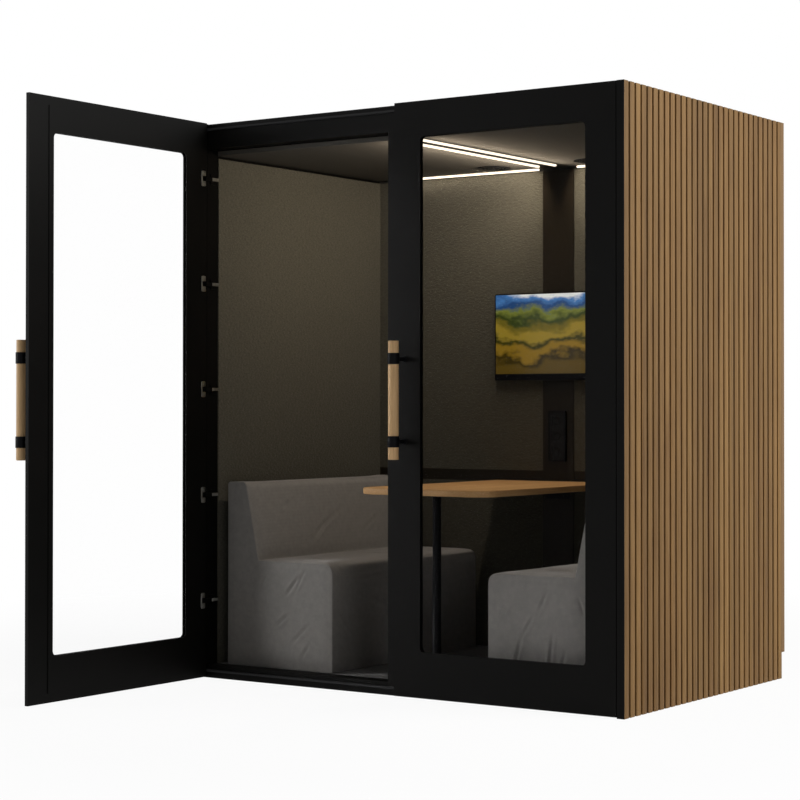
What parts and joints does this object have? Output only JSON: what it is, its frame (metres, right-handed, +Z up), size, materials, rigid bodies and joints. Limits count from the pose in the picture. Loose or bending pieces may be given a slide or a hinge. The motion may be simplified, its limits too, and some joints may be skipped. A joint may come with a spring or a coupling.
{
  "type": "acoustic office pod",
  "caption": "Free-standing acoustic meeting pod with slatted oak sides, glazed black double doors, felt lining, facing benches, table, screen, lights and fans.",
  "frame": {"origin": "middle of the pod footprint, on the floor", "axes": "+Z up, +Y from the doors to the back wall, +X to the right seen from the front"},
  "size_m": [2.0578, 2.247, 2.24],
  "materials": {
    "black_lacquer": "matt black lacquered board",
    "black_board": "matt black laminated board",
    "ceiling_board": "matt grey laminated board",
    "brown_board": "oak-coloured laminated board",
    "oak_slats": "brushed and oiled oak slats",
    "oak_solid": "oiled solid oak",
    "felt": "pressed acoustic felt",
    "dark_trim": "matt dark brown trim board",
    "carpet": "short pile carpet",
    "upholstery": "woven grey upholstery",
    "clear_glass": "clear laminated glass",
    "rubber_seal": "black rubber",
    "black_metal": "black powder coat",
    "lit_diffuser": "lit opal diffuser",
    "fan_plastic": "black moulded plastic",
    "display": "display panel",
    "socket_plastic": "dark moulded plastic"
  },
  "bodies": {
    "pod": {"base": "black_board", "carpet": "carpet", "sill": "black_lacquer", "header": "black_lacquer", "back_core": "black_board", "rear_panel": "brown_board", "roof": "black_board", "ceiling": "ceiling_board", "frame_seal": "rubber_seal", "media_column": "dark_trim", "screen_case": "black_metal", "screen_panel": "display", "screen_plate": "black_metal", "power_housing": "black_metal", "power_insert": "socket_plastic", "table_top": "oak_solid", "table_leg": "black_metal", "table_angle": "black_metal", "side_wall_left": "black_lacquer", "slat_cladding_left": "oak_slats", "jamb_left": "black_lacquer", "side_felt_left": "felt", "back_felt_upper_left": "felt", "back_rail_left": "dark_trim", "back_felt_lower_left": "felt", "ceiling_light_left": "lit_diffuser", "back_light_left": "lit_diffuser", "fan_guard_left": "fan_plastic", "fan_duct_left": "fan_plastic", "bench_seat_left": "upholstery", "bench_back_left": "upholstery", "side_wall_right": "black_lacquer", "slat_cladding_right": "oak_slats", "jamb_right": "black_lacquer", "side_felt_right": "felt", "back_felt_upper_right": "felt", "back_rail_right": "dark_trim", "back_felt_lower_right": "felt", "ceiling_light_right": "lit_diffuser", "back_light_right": "lit_diffuser", "fan_guard_right": "fan_plastic", "fan_duct_right": "fan_plastic", "bench_seat_right": "upholstery", "bench_back_right": "upholstery"},
    "door_left": {"door_frame_left": "black_lacquer", "door_glass_left": "clear_glass", "glazing_frame_left": "black_lacquer", "handle_bar_left": "oak_solid", "handle_mount_lower_left": "black_metal", "handle_mount_upper_left": "black_metal"},
    "door_right": {"door_frame_right": "black_lacquer", "door_glass_right": "clear_glass", "glazing_frame_right": "black_lacquer", "handle_bar_right": "oak_solid", "handle_mount_lower_right": "black_metal", "handle_mount_upper_right": "black_metal", "closing_strip": "black_lacquer"},
    "fan_left": {"fan_rotor_left": "fan_plastic"},
    "fan_right": {"fan_rotor_right": "fan_plastic"}
  },
  "joints": [
    {"name": "door_left_hinge", "type": "hinge", "parent": "pod", "child": "door_left", "pos_m": [-0.9575, -0.6425, 1.12], "axis": [0, 0, 1], "range_deg": [-15, 90]},
    {"name": "door_right_hinge", "type": "hinge", "parent": "pod", "child": "door_right", "pos_m": [0.9575, -0.6425, 1.12], "axis": [0, 0, 1], "range_deg": [0, 105]},
    {"name": "fan_left_spin", "type": "hinge", "parent": "pod", "child": "fan_left", "pos_m": [-0.24, 0.4, 2.17], "axis": [0, 0, 1], "continuous": true},
    {"name": "fan_right_spin", "type": "hinge", "parent": "pod", "child": "fan_right", "pos_m": [0.24, 0.4, 2.17], "axis": [0, 0, 1], "continuous": true}
  ]
}
